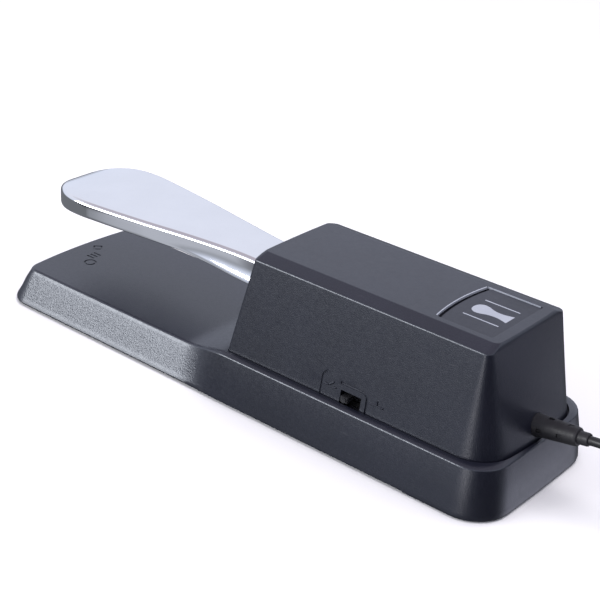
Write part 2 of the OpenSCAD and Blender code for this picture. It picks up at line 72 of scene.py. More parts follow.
SLEEVE_AXIS = (0, math.cos(SLEEVE_TILT), math.sin(SLEEVE_TILT))

# (y, half width), (y, top) and (y, lower edge) along the pedal, from its tip to its rear end
PEDAL_PLAN = [
    (-118.7, 0.8), (-118, 4.6), (-117, 7.4), (-115.5, 10), (-113.5, 12.6), (-110.4, 15.7),
    (-106.3, 18.7), (-102, 20.8), (-97, 22), (-90, 22.4), (-84, 22), (-76, 21.1), (-65, 19.6),
    (-54, 18), (-42, 16), (-30, 14.1), (-20, 12.7), (-10, 11.6), (0, 11), (10, 10.7), (22, 10.6),
    (46, 10.6), (98, 10.6),
]
PEDAL_TOP = [
    (-118.8, 46.4), (-118, 47.6), (-117, 48.4), (-115.5, 49.2), (-113.5, 50), (-110, 50.8),
    (-105, 51.3), (-98, 51.6), (-85, 51.7), (-62, 51.6), (-40, 51.5), (-24, 51.2), (-14, 50.9),
    (-6, 50.5), (0, 50.1), (5, 49.7), (9, 49.5), (17, 49.5), (36, 49.5), (98, 49.5),
]
PEDAL_LOW = [
    (-118.8, 42.9), (-115, 43.1), (-108, 43.7), (-98, 44.4), (-84, 44.7), (-68, 44.5), (-52, 44.4),
    (-40, 44.2), (-30, 43.3), (-22, 42.3), (-14, 41.1), (-6, 40.3), (4, 39.6), (20, 39), (44, 39),
    (74, 39), (82, 38), (98, 38),
]
# the lead's run from the sleeve to the coil, and from the coil to the plug
LEAD_ROUTE = [
    (0, 139, 27.8), (0, 144, 28.4), (0, 150, 28.7), (0, 158, 27), (0, 165, 22.5),
    (0, 170, 15.5), (0, 175, 8.8), (0, 182, 4.5), (0, 190, 2.8), (0, 199, 2.6),
]
END_ROUTE = [
    (-24.4, 223.4, 13.4), (-32, 223.6, 13.4), (-39, 222.9, 13.2), (-47, 220.2, 12.2),
    (-54, 215.4, 10), (-59, 209, 7.6), (-61, 202, 6.2), (-61, 197, 6),
]


# ---------- small helpers ----------

def mix(a, b, t):
    return a + (b - a) * t


def smoothstep(t):
    t = max(0.0, min(1.0, t))
    return t * t * (3 - 2 * t)


def catmull(a, b, c, d, t):
    return 0.5 * (2 * b + (c - a) * t + (2 * a - 5 * b + 4 * c - d) * t * t
                  + (3 * b - a - 3 * c + d) * t ** 3)


def smooth_line(points, steps):
    """A smooth line through the points, with steps stretches between neighbours."""
    points = [Vector(p) for p in points]
    last = len(points) - 1
    line = []
    for i in range(last):
        a, b, c, d = (points[max(0, min(last, i + k))] for k in (-1, 0, 1, 2))
        line += [catmull(a, b, c, d, s / steps) for s in range(steps)]
    return line + [points[last]]


def curve_at(pairs, x):
    """Value at x of the smooth curve through (x, value) pairs."""
    last = len(pairs) - 1
    if x <= pairs[0][0]:
        return pairs[0][1]
    for i in range(last):
        if x <= pairs[i + 1][0]:
            t = (x - pairs[i][0]) / (pairs[i + 1][0] - pairs[i][0])
            a, b, c, d = (pairs[max(0, min(last, i + k))][1] for k in (-1, 0, 1, 2))
            return catmull(a, b, c, d, t)
    return pairs[last][1]


def link(name, data):
    obj = bpy.data.objects.new(name, data)
    bpy.context.scene.collection.objects.link(obj)
    return obj


def mesh_object(name, points, faces):
    """Mesh from points in millimetres."""
    mesh = bpy.data.meshes.new(name)
    mesh.from_pydata([Vector(p) * MM for p in points], [], faces)
    mesh.validate()
    obj = link(name, mesh)
    tidy_normals(obj)
    return obj


def tidy_normals(obj):
    bm = bmesh.new()
    bm.from_mesh(obj.data)
    bmesh.ops.remove_doubles(bm, verts=bm.verts, dist=1e-7)
    bmesh.ops.recalc_face_normals(bm, faces=bm.faces)
    bm.to_mesh(obj.data)
    bm.free()


def shade(obj, angle):
    """Smooth shading, sharp at edges over angle."""
    obj.data.polygons.foreach_set("use_smooth", [True] * len(obj.data.polygons))
    obj.data.set_sharp_from_angle(angle=math.radians(angle))
    even = obj.modifiers.new("even_normals", "WEIGHTED_NORMAL")
    even.keep_sharp = True


def apply_modifiers(obj):
    graph = bpy.context.evaluated_depsgraph_get()
    mesh = bpy.data.meshes.new_from_object(obj.evaluated_get(graph))
    obj.modifiers.clear()
    obj.data = mesh


def cut(obj, *cutters):
    """Takes the cutters out of obj, then deletes them."""
    for c in cutters:
        mod = obj.modifiers.new("cut", "BOOLEAN")
        mod.operation = "DIFFERENCE"
        mod.solver = "EXACT"
        mod.object = c
        apply_modifiers(obj)
    for c in cutters:
        bpy.data.objects.remove(c, do_unlink=True)


def soften(obj, width, segments=2, angle=40, keep=False):
    """Rounds the edges sharper than angle."""
    mod = obj.modifiers.new("soften", "BEVEL")
    mod.width = width * MM
    mod.segments = segments
    mod.limit_method = "ANGLE"
    mod.angle_limit = math.radians(angle)
    mod.use_clamp_overlap = True
    mod.harden_normals = False
    if not keep:
        apply_modifiers(obj)
    return obj


def join(target, *others):
    """Adds the others' meshes to target's, as further closed shells."""
    bm = bmesh.new()
    bm.from_mesh(target.data)
    for o in others:
        o.data.transform(o.matrix_world)
        bm.from_mesh(o.data)
        bpy.data.objects.remove(o, do_unlink=True)
    bm.to_mesh(target.data)
    bm.free()
    return target


def prism(name, plan, z0, z1):
    n = len(plan)
    points = [(x, y, z0) for x, y in plan] + [(x, y, z1) for x, y in plan]
    faces = [tuple(reversed(range(n))), tuple(range(n, 2 * n))]
    faces += [(i, (i + 1) % n, n + (i + 1) % n, n + i) for i in range(n)]
    return mesh_object(name, points, faces)


def block(name, lo, hi):
    (x0, y0, z0), (x1, y1, z1) = lo, hi
    return prism(name, [(x0, y0), (x1, y0), (x1, y1), (x0, y1)], z0, z1)


def lathe(name, profile, at=(0, 0, 0), axis=(0, 0, 1), sides=48):
    """Turned closed solid: profile is [(radius, distance along the axis), ...], with its ends on the
    axis, or closed on itself for a ring."""
    axis = Vector(axis).normalized()
    turn = Vector((0, 0, 1)).rotation_difference(axis).to_matrix()
    points, faces, rings = [], [], []
    for r, z in profile:
        if r < 1e-6:
            rings.append([len(points)])
            points.append(Vector((0, 0, z)))
        else:
            rings.append(list(range(len(points), len(points) + sides)))
            points += [Vector((r * math.cos(a), r * math.sin(a), z))
                       for a in (2 * math.pi * k / sides for k in range(sides))]
    for lower, upper in zip(rings, rings[1:]):
        for k in range(sides):
            face = [lower[k % len(lower)], lower[(k + 1) % len(lower)],
                    upper[(k + 1) % len(upper)], upper[k % len(upper)]]
            face = list(dict.fromkeys(face))
            if len(face) > 2:
                faces.append(face)
    return mesh_object(name, [turn @ p + Vector(at) for p in points], faces)


def fillet(corner, before, after, radius, steps):
    """Points of the arc that rounds a corner between two neighbours, in 2D."""
    c = Vector(corner)
    u = (Vector(before) - c).normalized()
    v = (Vector(after) - c).normalized()
    half = u.angle(v) / 2
    centre = c + (u + v).normalized() * radius / math.sin(half)
    a = c + u * radius / math.tan(half) - centre
    b = c + v * radius / math.tan(half) - centre
    sweep = a.angle_signed(b)
    return [centre + Matrix.Rotation(-sweep * s / steps, 2) @ a for s in range(steps + 1)]


# ---------- materials ----------

SHELL_TONES = (0.0048, 0.0052, 0.0105), (0.0068, 0.0074, 0.0145)
SHELL_TINT = (0.87, 0.92, 1.0)
GRIT_SCALE, GRIT_DEPTH = 1500.0, 0.16
GRIT_ZONE = (28, -119, 3.2), (38, -12, 13.9)    # the slanted wall beside the ramp


def nodes_of(name):
    mat = bpy.data.materials.new(name)
    mat.use_nodes = True
    tree = mat.node_tree
    shader = tree.nodes["Principled BSDF"]
    return mat, tree, shader


def add_node(tree, kind, inputs=(), **settings):
    node = tree.nodes.new(kind)
    for key, value in settings.items():
        setattr(node, key, value)
    for key, value in dict(inputs).items():
        node.inputs[key].default_value = value
    return node


def noise(tree, scale, detail=2.0, rough=0.5, vector=None, distortion=0.0):
    settings = {"Scale": scale, "Detail": detail, "Roughness": rough, "Distortion": distortion}
    node = add_node(tree, "ShaderNodeTexNoise", settings)
    tree.links.new(vector or object_coords(tree), node.inputs["Vector"])
    return node.outputs["Fac"]


def object_coords(tree):
    for node in tree.nodes:
        if node.bl_idname == "ShaderNodeTexCoord":
            return node.outputs["Object"]
    return tree.nodes.new("ShaderNodeTexCoord").outputs["Object"]


def ramp(tree, value, stops):
    """Colour ramp: stops are (position, colour)."""
    node = tree.nodes.new("ShaderNodeValToRGB")
    while len(node.color_ramp.elements) < len(stops):
        node.color_ramp.elements.new(0.5)
    for element, (pos, colour) in zip(node.color_ramp.elements, stops):
        element.position = pos
        element.color = (*colour, 1)
    tree.links.new(value, node.inputs["Fac"])
    return node.outputs["Color"]


def mapped(tree, value, lo, hi, out_lo, out_hi):
    node = add_node(tree, "ShaderNodeMapRange",
                    {"From Min": lo, "From Max": hi, "To Min": out_lo, "To Max": out_hi})
    tree.links.new(value, node.inputs["Value"])
    return node.outputs["Result"]


def blended(tree, factor, a, b):
    """a and b are colours or sockets."""
    node = add_node(tree, "ShaderNodeMix", data_type="RGBA")
    for key, value in (("Factor", factor), ("A", a), ("B", b)):
        socket = [s for s in node.inputs if s.name == key and s.enabled][0]
        if isinstance(value, bpy.types.NodeSocket):
            tree.links.new(value, socket)
        else:
            socket.default_value = value if key == "Factor" else (*value, 1)
    return [s for s in node.outputs if s.enabled][0]


def bump(tree, height, strength, distance, below=None):
    node = add_node(tree, "ShaderNodeBump", {"Strength": strength, "Distance": distance})
    tree.links.new(height, node.inputs["Height"])
    if below:
        tree.links.new(below, node.inputs["Normal"])
    return node.outputs["Normal"]


def wear(tree):
    """Sparse fine rubbing marks: 1 in a mark, 0 elsewhere."""
    stretch = add_node(tree, "ShaderNodeMapping")
    stretch.inputs["Scale"].default_value = (1.0, 0.15, 1.0)
    stretch.inputs["Rotation"].default_value = (0.3, 0.2, 0.5)
    tree.links.new(object_coords(tree), stretch.inputs["Vector"])
    marks = mapped(tree, noise(tree, 900.0, 2.0, 0.5, stretch.outputs["Vector"]), 0.66, 0.74, 0.0, 1.0)
    places = mapped(tree, noise(tree, 45.0, 2.0), 0.52, 0.66, 0.0, 1.0)
    return math_node(tree, "MULTIPLY", marks, places)


def plastic(name, dark, light, rough=0.36, grain=2600.0, grain_depth=0.05, rubbed=0.3,
            rubbed_colour=(0.05, 0.05, 0.055), shine=0.5, grit_zone=None, tint=(1.0, 1.0, 1.0)):
    """Spark-eroded moulded plastic: fine grain, slow colour drift, sparse rubbing marks. In the
    grit_zone, lowest and highest corner in mm, the grain is coarse."""
    mat, tree, shader = nodes_of(name)
    colour = ramp(tree, noise(tree, 38.0, 3.0), [(0.3, dark), (0.7, light)])
    dust = mapped(tree, noise(tree, 1100.0, 5.0, 0.65), 0.6, 0.85, 0.0, 0.18)
    colour = blended(tree, dust, colour, tuple(min(1.0, c * 1.9 + 0.006) for c in light))
    colour = blended(tree, math_node(tree, "MULTIPLY", wear(tree), rubbed), colour, rubbed_colour)
    tree.links.new(colour, shader.inputs["Base Color"])
    tree.links.new(mapped(tree, noise(tree, 600.0, 3.0, 0.6), 0.3, 0.7, rough - 0.03, rough + 0.03),
                   shader.inputs["Roughness"])
    cells = add_node(tree, "ShaderNodeTexVoronoi", {"Scale": grain, "Randomness": 1.0})
    tree.links.new(object_coords(tree), cells.inputs["Vector"])
    normal = bump(tree, cells.outputs["Distance"], 0.55, grain_depth * MM)
    if grit_zone:
        inside = zone(tree, *grit_zone)
        grit = math_node(tree, "SUBTRACT", noise(tree, GRIT_SCALE, 2.0, 0.6), 0.5)
        normal = bump(tree, math_node(tree, "MULTIPLY", grit, inside), 1.0, GRIT_DEPTH * MM, normal)
    tree.links.new(normal, shader.inputs["Normal"])
    shader.inputs["Specular IOR Level"].default_value = shine
    shader.inputs["Specular Tint"].default_value = (*tint, 1.0)
    return mat


def math_node(tree, operation, *values):
    node = add_node(tree, "ShaderNodeMath", operation=operation)
    for socket, value in zip(node.inputs, values):
        if isinstance(value, bpy.types.NodeSocket):
            tree.links.new(value, socket)
        else:
            socket.default_value = value
    return node.outputs[0]


def zone(tree, lo, hi, edge=0.6):
    """1 inside the box from lo to hi in millimetres, 0 outside, with a soft edge."""
    split = tree.nodes.new("ShaderNodeSeparateXYZ")
    tree.links.new(object_coords(tree), split.inputs[0])
    inside = None
    for axis, a, b in zip("XYZ", lo, hi):
        for start, end in ((a, a + edge), (b, b - edge)):
            part = mapped(tree, split.outputs[axis], start * MM, end * MM, 0.0, 1.0)
            inside = part if inside is None else math_node(tree, "MULTIPLY", inside, part)
    return inside


def metal(name, dark, light, rough, scratch_scale, depth, scratch=0.3):
    """Plated or bare metal with faint wipe marks."""
    mat, tree, shader = nodes_of(name)
    shader.inputs["Metallic"].default_value = 1.0
    stretch = add_node(tree, "ShaderNodeMapping")
    stretch.inputs["Scale"].default_value = (1.0, 0.08, 1.0)
    tree.links.new(object_coords(tree), stretch.inputs["Vector"])
    wipe = noise(tree, scratch_scale, 4.0, 0.6, stretch.outputs["Vector"])
    cloud = noise(tree, 60.0, 3.0)
    tree.links.new(ramp(tree, cloud, [(0.3, dark), (0.7, light)]), shader.inputs["Base Color"])
    tree.links.new(mapped(tree, wipe, 0.35, 0.7, rough * (1 - scratch), rough * (1 + scratch) + 0.01),
                   shader.inputs["Roughness"])
    tree.links.new(bump(tree, wipe, 0.2, depth * MM), shader.inputs["Normal"])
    return mat


def rubber(name, dark, light, rough=0.62):
    mat, tree, shader = nodes_of(name)
    colour = ramp(tree, noise(tree, 160.0, 4.0), [(0.35, dark), (0.7, light)])
    tree.links.new(colour, shader.inputs["Base Color"])
    tree.links.new(mapped(tree, noise(tree, 700.0, 3.0), 0.3, 0.7, rough - 0.08, rough + 0.1),
                   shader.inputs["Roughness"])
    tree.links.new(bump(tree, noise(tree, 3200.0, 2.0), 0.5, 0.03 * MM), shader.inputs["Normal"])
    return mat


def felt(name, dark, light):
    mat, tree, shader = nodes_of(name)
    fibres = noise(tree, 1500.0, 6.0, 0.7, distortion=1.5)
    tree.links.new(ramp(tree, fibres, [(0.3, dark), (0.7, light)]), shader.inputs["Base Color"])
    shader.inputs["Roughness"].default_value = 0.95
    shader.inputs["Sheen Weight"].default_value = 0.4
    tree.links.new(bump(tree, fibres, 0.8, 0.2 * MM), shader.inputs["Normal"])
    return mat


def board_material():
    mat, tree, shader = nodes_of("board_lacquer")
    bands = add_node(tree, "ShaderNodeTexBrick", {"Scale": 160.0, "Mortar Size": 0.03})
    tree.links.new(object_coords(tree), bands.inputs["Vector"])
    bands.inputs["Color1"].default_value = (0.01, 0.1, 0.04, 1)
    bands.inputs["Color2"].default_value = (0.012, 0.12, 0.05, 1)
    bands.inputs["Mortar"].default_value = (0.03, 0.2, 0.09, 1)
    tree.links.new(bands.outputs["Color"], shader.inputs["Base Color"])
    tree.links.new(mapped(tree, noise(tree, 300.0), 0.3, 0.7, 0.22, 0.34), shader.inputs["Roughness"])
    return mat


def make_materials():
    return {
        "shell_plastic": plastic("shell_plastic", *SHELL_TONES, 0.33, shine=0.93, tint=SHELL_TINT,
                                 grit_zone=GRIT_ZONE),
        "housing_plastic": plastic("housing_plastic", *SHELL_TONES, 0.34, shine=0.84, tint=SHELL_TINT),
        "label": plastic("label", (0.012, 0.014, 0.022), (0.018, 0.02, 0.03), 0.42, 3400.0, 0.02, 0.1),
        # the print's colour; the same material paints the highlight strips on the recess's edges
        "print_and_painted_highlight": plastic("print_and_painted_highlight", (0.28, 0.3, 0.35), (0.36, 0.38, 0.43), 0.4, 3400.0, 0.01, 0.0),
        "plated_steel": metal("plated_steel", (0.42, 0.43, 0.45), (0.55, 0.56, 0.58), 0.34, 700.0, 0.01),
        # near-black steel for the slide switch's case: painted shade for the floor of the housing's notch
        "painted_shade_steel": metal("painted_shade_steel", (0.03, 0.03, 0.032), (0.05, 0.05, 0.052), 0.45, 700.0, 0.01),
        "screw_steel": metal("screw_steel", (0.38, 0.38, 0.4), (0.52, 0.52, 0.54), 0.3, 1200.0, 0.01),
        "sole_rubber": rubber("sole_rubber", (0.012, 0.012, 0.013), (0.022, 0.022, 0.024), 0.75),
        "nylon": plastic("nylon", (0.66, 0.65, 0.6), (0.75, 0.74, 0.69), 0.45, 2600.0, 0.02, 0.1,
                         (0.8, 0.79, 0.75)),
        "pedal_chrome": metal("pedal_chrome", (0.82, 0.83, 0.85), (0.85, 0.86, 0.88), 0.05, 420.0, 0.0003),
        "spring_steel": metal("spring_steel", (0.5, 0.5, 0.52), (0.62, 0.62, 0.64), 0.24, 900.0, 0.006),
        "felt": felt("felt", (0.03, 0.03, 0.035), (0.09, 0.09, 0.1)),
        "board": board_material(),
        "switch_plastic": plastic("switch_plastic", (0.02, 0.022, 0.028), (0.03, 0.033, 0.04), 0.3,
                                  3400.0, 0.02),
        "button_plastic": plastic("button_plastic", (0.45, 0.04, 0.025), (0.55, 0.06, 0.04), 0.3,
                                  3400.0, 0.01, 0.1),
        "knob_plastic": plastic("knob_plastic", (0.016, 0.016, 0.018), (0.024, 0.024, 0.027), 0.34),
        "lead_sheath": rubber("lead_sheath", (0.009, 0.009, 0.01), (0.016, 0.016, 0.018), 0.42),
        "sleeve_rubber": rubber("sleeve_rubber", (0.01, 0.01, 0.012), (0.018, 0.018, 0.021), 0.5),
        "tie_plastic": rubber("tie_plastic", (0.02, 0.02, 0.022), (0.04, 0.04, 0.043), 0.8),
        "grip_plastic": plastic("grip_plastic", (0.009, 0.009, 0.01), (0.014, 0.014, 0.016), 0.38),
        "plug_metal": metal("plug_metal", (0.72, 0.72, 0.72), (0.82, 0.82, 0.81), 0.14, 800.0, 0.002),
        "insulator": rubber("insulator", (0.01, 0.01, 0.01), (0.015, 0.015, 0.015), 0.3),
    }


def finish_piece(obj, material, body, slot, *replaced, angle=38):
    obj.data.materials.clear()
    obj.data.materials.append(material)
    if obj.type == "MESH":
        shade(obj, angle)
    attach(obj, body)
    if replaced:
        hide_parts(*replaced)
    return obj


# ---------- camera, floor and light ----------

CAMERA = dict(target=(-15.0, -1.8, 25.1), distance=585.3, azimuth=38.19, elevation=26.46,
              roll=3.62, lens=86.66)
PAPER = (0.81, 0.81, 0.815), (0.83, 0.83, 0.835)
SKY = [
    (0.0, (0.16, 0.165, 0.18)), (0.46, (0.17, 0.18, 0.20)), (0.54, (0.80, 0.85, 1.0)),
    (0.80, (0.86, 0.88, 1.0)), (0.90, (0.52, 0.48, 0.55)), (1.0, (0.52, 0.48, 0.55)),
]
# round patches of the surroundings: colour, direction, and the cosines of the angles at which a
# patch begins and is full
PATCHES = [
    ((1.45, 1.45, 1.7), (-0.69, 0.54, -0.48), 0.945, 0.99),    # bright floor behind the pedal
    ((0.04, 0.04, 0.06), (-0.70, 0.70, -0.12), 0.95, 0.985),   # dark room beyond that floor
    ((0.02, 0.02, 0.03), (0.62, 0.78, -0.06), 0.88, 0.95),     # dark room beyond the lead
    ((0.02, 0.02, 0.03), (0.12, 0.97, -0.2), 0.90, 0.96),      # and behind the housing
    ((0.50, 0.52, 0.58), (0.92, -0.30, -0.34), 0.93, 0.985),   # grey floor beside the ramp
    ((0.06, 0.06, 0.07), (0.77, -0.62, -0.17), 0.972, 0.995),  # dark gap under the key light
    ((3.9, 3.7, 3.7), (1.0, 0.09, -0.14), 0.982, 0.992),       # bright slot beside the housing
]
FLOOR_HALF = 3.0        # half the floor's width, in metres


def make_camera():
    az, el, roll = (math.radians(CAMERA[k]) for k in ("azimuth", "elevation", "roll"))
    back = Vector((math.cos(az) * math.cos(el), math.sin(az) * math.cos(el), math.sin(el)))
    level = (-back).cross(Vector((0, 0, 1))).normalized()
    up = level.cross(-back)
    right = math.cos(roll) * level + math.sin(roll) * up
    up = math.cos(roll) * up - math.sin(roll) * level
    data = bpy.data.cameras.new("camera")
    data.lens = CAMERA["lens"]
    data.clip_start, data.clip_end = 0.01, 20.0
    cam = link("camera", data)
    place = (Vector(CAMERA["target"]) + CAMERA["distance"] * back) * MM
    cam.matrix_world = Matrix.Translation(place) @ Matrix((right, up, back)).transposed().to_4x4()
    bpy.context.scene.camera = cam


def softbox(name, direction, distance, size, power, colour=(1, 1, 1), target=(0, 0, 0.03)):
    """Area light in that direction from the target, facing it; lengths are in metres."""
    data = bpy.data.lights.new(name, "AREA")
    data.shape = "RECTANGLE"
    data.size, data.size_y = size
    data.energy = power
    data.color = colour
    lamp = link(name, data)
    away = Vector(direction).normalized()
    lamp.matrix_world = (Matrix.Translation(Vector(target) + away * distance)
                         @ away.to_track_quat("Z", "Y").to_matrix().to_4x4())
    return lamp


def make_studio():
    corners = [(x * FLOOR_HALF, y * FLOOR_HALF, 0) for x, y in ((-1, -1), (1, -1), (1, 1), (-1, 1))]
    floor = link("floor", bpy.data.meshes.new("floor"))
    floor.data.from_pydata(corners, [], [(0, 1, 2, 3)])
    mat, tree, shader = nodes_of("floor_paper")
    paper = ramp(tree, noise(tree, 6.0, 2.0), [(0.3, PAPER[0]), (0.7, PAPER[1])])
    tree.links.new(paper, shader.inputs["Base Color"])
    shader.inputs["Roughness"].default_value = 0.9
    shader.inputs["Specular IOR Level"].default_value = 0.0
    floor.data.materials.append(mat)
    floor.visible_glossy = False

    world = bpy.data.worlds.new("studio")
    bpy.context.scene.world = world
    world.use_nodes = True
    tree = world.node_tree
    back = tree.nodes["Background"]
    direction = tree.nodes.new("ShaderNodeTexCoord").outputs["Generated"]
    split = tree.nodes.new("ShaderNodeSeparateXYZ")
    tree.links.new(direction, split.inputs[0])
    height = mapped(tree, split.outputs["Z"], -1.0, 1.0, 0.0, 1.0)
    sky = ramp(tree, height, SKY)
    for colour, centre, edge, core in PATCHES:
        dot = add_node(tree, "ShaderNodeVectorMath", operation="DOT_PRODUCT")
        dot.inputs[1].default_value = Vector(centre).normalized()
        tree.links.new(direction, dot.inputs[0])
        inside = mapped(tree, dot.outputs["Value"], edge, core, 0.0, 1.0)
        sky = blended(tree, inside, sky, colour)
    tree.links.new(sky, back.inputs["Color"])
    back.inputs["Strength"].default_value = 1.0

    softbox("key", (0.787, -0.554, 0.30), 2.0, (1.3, 0.72), 31.0)
    overhead = softbox("top", (-0.1, 0.15, 1.0), 1.2, (0.9, 0.9), 11.0, (1.0, 0.97, 1.0))
    overhead.visible_glossy = False
    bpy.context.scene.view_settings.view_transform = "Standard"


# ---------- lead ----------


def coil_points():
    """Centreline of the coil, row by row. Each step to the next column or row takes a sixth of a
    turn and comes a sixth of a turn earlier in each new row, so that no two turns meet."""
    moves = []
    turn = 5 / 6
    for row in range(COIL["rows"]):
        way = 1 if row % 2 == 0 else -1
        for _ in range(COIL["cols"] - 1):
            moves.append((turn, way, 0))
            turn += 1
        turn -= 1 / 6
        if row < COIL["rows"] - 1:
            moves.append((turn, 0, 1))
            turn += 5 / 6
    points = []
    steps = 48      # points to a turn
    outer = COIL["r"] + (COIL["cols"] - 1) / 2 * COIL["pitch"]
    low = COIL["z0"] + COIL["pitch"] / 2
    for k in range(int(COIL["turns"] * steps) + 1):
        at = k / steps
        col = sum(side * smoothstep((at - start) * 6) for start, side, up in moves)
        row = sum(up * smoothstep((at - start) * 6) for start, side, up in moves)
        radius = outer - col * COIL["pitch"]
        a = 2 * math.pi * at
        points.append(Vector((COIL["x"] + radius * math.cos(a), COIL["y"] + radius * math.sin(a),
                              low + row * COIL["pitch"])))
    return points


def make_lead(materials):
    line = smooth_line(LEAD_ROUTE, 4)[:-1] + coil_points() + smooth_line(END_ROUTE, 4)[1:]
    data = bpy.data.curves.new("lead", "CURVE")
    data.dimensions = "3D"
    data.bevel_depth = (LEAD_D - 0.03) / 2 * MM
    data.bevel_resolution = 3
    data.use_fill_caps = True
    spline = data.splines.new("POLY")
    spline.points.add(len(line) - 1)
    for point, co in zip(spline.points, line):
        point.co = (*(co * MM), 1)
    spline.use_smooth = True
    lead = link("lead", data)
    finish_piece(lead, materials["lead_sheath"], "base", "lead_sheath", "cord_lead", "cord_coil", "cord_end")


# ---------- outlines ----------

CORNER_STEPS, EDGE_STEPS = 8, 8


def half_outline(hw, y0, y1, rf, rr, bow_f, bow_r, stations):
    """Right half of a rounded outline, from the front middle to the rear middle."""
    front = [(i / EDGE_STEPS * (hw - rf), y0) for i in range(EDGE_STEPS)]
    front += [(hw - rf + rf * math.sin(a), y0 + rf - rf * math.cos(a))
              for a in (math.pi / 2 * i / CORNER_STEPS for i in range(CORNER_STEPS + 1))]
    rear = [(hw - rr + rr * math.cos(a), y1 - rr + rr * math.sin(a))
            for a in (math.pi / 2 * i / CORNER_STEPS for i in range(CORNER_STEPS + 1))]
    rear += [((1 - i / EDGE_STEPS) * (hw - rr), y1) for i in range(1, EDGE_STEPS + 1)]
    front = [(x, y + bow_f * (x / hw) ** 2) for x, y in front]
    rear = [(x, y - bow_r * (x / hw) ** 2) for x, y in rear]
    return front + [(hw, y) for y in stations] + rear


def full_outline(half):
    return half + [(-x, y) for x, y in reversed(half[1:-1])]


def outline(*sizes):
    return full_outline(half_outline(*sizes, ()))


def lofted(name, halves, cap_z=None, columns=10):
    """Closed solid through half rings of (x, y, z), bottom first, mirrored to the left. The roof is
    flat, or with cap_z it is rows of columns that lie at the height cap_z gives for their y."""
    n = 2 * (len(halves[0]) - 1)
    points, faces = [], []
    for half in halves:
        points += list(half) + [(-x, y, z) for x, y, z in reversed(half[1:-1])]
    for j in range(len(halves) - 1):
        for i in range(n):
            a, b = j * n + i, j * n + (i + 1) % n
            faces.append((a, b, b + n, a + n))
    faces.append(tuple(reversed(range(n))))
    top = (len(halves) - 1) * n
    if cap_z is None:
        faces.append(tuple(range(top, top + n)))
        return mesh_object(name, points, faces)
    last = len(halves[-1]) - 1
    rows = []
    for k, (x, y, z) in enumerate(halves[-1]):
        if k in (0, last):
            rows.append([top + k] * (columns + 1))
            continue
        row = [top + k]
        for c in range(1, columns):
            points.append((x * (1 - 2 * c / columns), y, cap_z(y)))
            row.append(len(points) - 1)
        rows.append(row + [top + n - k])
    for lower, upper in zip(rows, rows[1:]):
        for c in range(columns):
            face = list(dict.fromkeys((lower[c + 1], lower[c], upper[c], upper[c + 1])))
            if len(face) > 2:
                faces.append(tuple(face))
    return mesh_object(name, points, faces)


# ---------- base ----------

COVER_BOSSES = [(s * 21.5, y) for s in (-1, 1) for y in (14, 104)]
BASE_STATIONS = ([-100, -80, -60, -45, -35, -30, -27] + [-25 + 2 * i for i in range(16)]
                 + [9, 15, 25, 40, 55, 70, 85, 100])


def rise(y):
    return smoothstep((y - RISE_Y0) / (RISE_Y1 - RISE_Y0))


def base_profiles():
    """(inset, height) pairs from the bottom edge to the cap: at the ramp and round the housing."""
    steps, slant, edge_r, edge_inset = 7, math.radians(27.65), 1.5, 8.006
    ramp_side = [(0.95, BASE_Z), (0.5, 1.15), (0.34, 1.7), (0.8, 2.8), (2.2, 5.3), (4.4, 10.2)]
    ramp_side += [(edge_inset - edge_r * math.cos(a), RAMP_Z - edge_r + edge_r * math.sin(a))
                  for a in (mix(slant, math.pi / 2, i / steps) for i in range(steps + 1))]
    ledge = [(0.5, BASE_Z), (0.15, 0.8), (0.0, 1.5), (0.12, 3), (0.5, 6.5), (1.05, 12.5)]
    # tight outer edge, then a flatter arc up to the housing
    turn, small, large, inset = math.radians(58), 1.0, 4.0, 3.4
    low = LEDGE_Z - large + (large - small) * math.sin(turn)
    ledge += [(inset - small * math.cos(a), low + small * math.sin(a))
              for a in (math.radians(b) for b in (12, 24, 36, 47, 58))]
    far_inset = inset + (large - small) * math.cos(turn)
    ledge += [(far_inset - large * math.cos(a), LEDGE_Z - large + large * math.sin(a))
              for a in (math.radians(b) for b in (68, 79, 90))]
    return list(zip(ramp_side, ledge))


def base_half(inset, stations=BASE_STATIONS):
    front_r = max(2, FRONT_R - inset * 0.9)
    return half_outline(HALF_W - inset, -HALF_L + inset, HALF_L - inset, front_r, REAR_R - inset,
                        FRONT_BOW, REAR_BOW, stations)


def post(x, y, r, top, edge):
    """Post on the deck, chamfered by edge at its top."""
    foot = DECK_Z - 1
    return lathe("post", [(0, foot), (r, foot), (r, top - edge), (r - edge, top), (0, top)], (x, y, 0))


def make_base(materials):
    nominal = [rise(y) for x, y in base_half(0)]
    halves = []
    for (ramp_inset, ramp_z), (ledge_inset, ledge_z) in base_profiles():
        rings = [base_half(mix(ramp_inset, ledge_inset, t)) for t in nominal]
        halves.append([(*rings[k][k], mix(ramp_z, ledge_z, t)) for k, t in enumerate(nominal)])
    base = lofted("base", halves, lambda y: mix(RAMP_Z, LEDGE_Z, rise(y)), 12)
    cutters = [
        prism("groove", outline(31.65, 0.35, 121.5, 1.8, 12.6, 0, COVER_REAR_BOW), REBATE_Z, 30),
        prism("well", outline(27, 3.5, 114, 3, 9, 0, 1), DECK_Z, 30),
        prism("under", full_outline(base_half(3.2, ())), -2, 3.4),
        block("skirt", (-50, -140, -2), (50, SKIRT_STEP_Y, BASE_Z + SKIRT_STEP)),
    ]
    cutters += [lathe("head", [(0, -1), (3.6, -1), (3.6, 7), (0, 7)], (x, y, 0)) for x, y in COVER_BOSSES]
    cut(base, *cutters)
    cut(base, *ramp_marks())
    soften(base, 0.35, 3, 44)
    posts = [post(x, y, 4.2, 18.6, 0.4) for x, y in COVER_BOSSES]
    posts += [post(22.5, y, 3, 15, 0.2) for y in (50.5, 74)]
    posts += [post(x, 105, 3, 17.8, 0.2) for x in (-7, 7)]
    posts += [post(0, SPRING_Y, 4, 17, 0.6), post(0, 15, 5.5, 36, 0.4)]
    join(base, *posts, soften(block("web", (-1, 9.5, DECK_Z - 1), (1, 23.5, 30)), 0.3))
    return finish_piece(base, materials["shell_plastic"], "base", "shell_plastic", "base_shell", angle=34)


